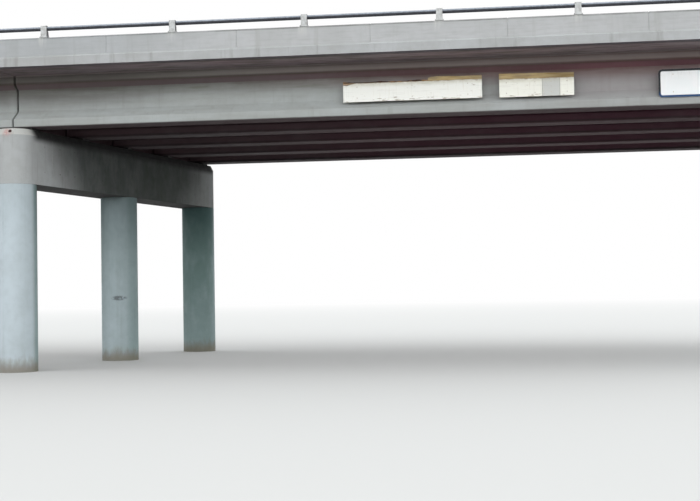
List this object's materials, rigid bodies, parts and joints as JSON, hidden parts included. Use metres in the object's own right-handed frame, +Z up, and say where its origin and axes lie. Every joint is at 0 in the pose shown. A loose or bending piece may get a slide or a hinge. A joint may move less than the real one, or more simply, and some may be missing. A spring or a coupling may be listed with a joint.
{
  "type": "concrete highway overpass",
  "caption": "Concrete girder overpass on round column piers, with parapets, a tube rail and blank clearance boards hung over the roadway below.",
  "frame": {"origin": "on the ground under the middle pier, at the middle of the whole structure", "axes": "+X along the roadway above, +Y across it away from the side with the sign boards, +Z up"},
  "size_m": [36.1022, 10.667, 7.447],
  "materials": {
    "pier_concrete": "cast concrete, weathered",
    "girder_concrete": "precast concrete, form-smooth",
    "deck_concrete": "cast concrete, weathered",
    "bearing_rubber": "matt black",
    "rail_aluminium": "dull mill finish",
    "board_paint": "cream paint on plywood, weathered",
    "bare_timber": "unpainted plank, weathered",
    "guide_paint": "white sheeting on aluminium",
    "bracket_steel": "galvanised"
  },
  "bodies": {
    "root": {"left_pier_column_near": "pier_concrete", "left_pier_column_centre": "pier_concrete", "left_pier_column_far": "pier_concrete", "left_pier_cap": "pier_concrete", "left_pier_bearing_pads": "bearing_rubber", "middle_pier_column_near": "pier_concrete", "middle_pier_column_centre": "pier_concrete", "middle_pier_column_far": "pier_concrete", "middle_pier_cap": "pier_concrete", "middle_pier_bearing_pads": "bearing_rubber", "right_pier_column_near": "pier_concrete", "right_pier_column_centre": "pier_concrete", "right_pier_column_far": "pier_concrete", "right_pier_cap": "pier_concrete", "right_pier_bearing_pads": "bearing_rubber", "left_span_girder_1": "girder_concrete", "left_span_girder_2": "girder_concrete", "left_span_girder_3": "girder_concrete", "left_span_girder_4": "girder_concrete", "left_span_girder_5": "girder_concrete", "left_span_diaphragms": "girder_concrete", "left_span_deck_slab": "deck_concrete", "left_span_parapet_near": "deck_concrete", "left_span_parapet_far": "deck_concrete", "right_span_girder_1": "girder_concrete", "right_span_girder_2": "girder_concrete", "right_span_girder_3": "girder_concrete", "right_span_girder_4": "girder_concrete", "right_span_girder_5": "girder_concrete", "right_span_diaphragms": "girder_concrete", "right_span_deck_slab": "deck_concrete", "right_span_parapet_near": "deck_concrete", "right_span_parapet_far": "deck_concrete", "middle_joint_seal": "bearing_rubber", "near_rail_posts": "rail_aluminium", "far_rail_posts": "rail_aluminium", "near_rail": "rail_aluminium", "far_rail": "rail_aluminium", "wide_sign_board": "board_paint", "height_sign_board": "board_paint", "wide_sign_backing_plank": "bare_timber", "height_sign_backing_plank": "bare_timber", "guide_sign_board": "guide_paint", "sign_brackets": "bracket_steel"}
  },
  "joints": []
}
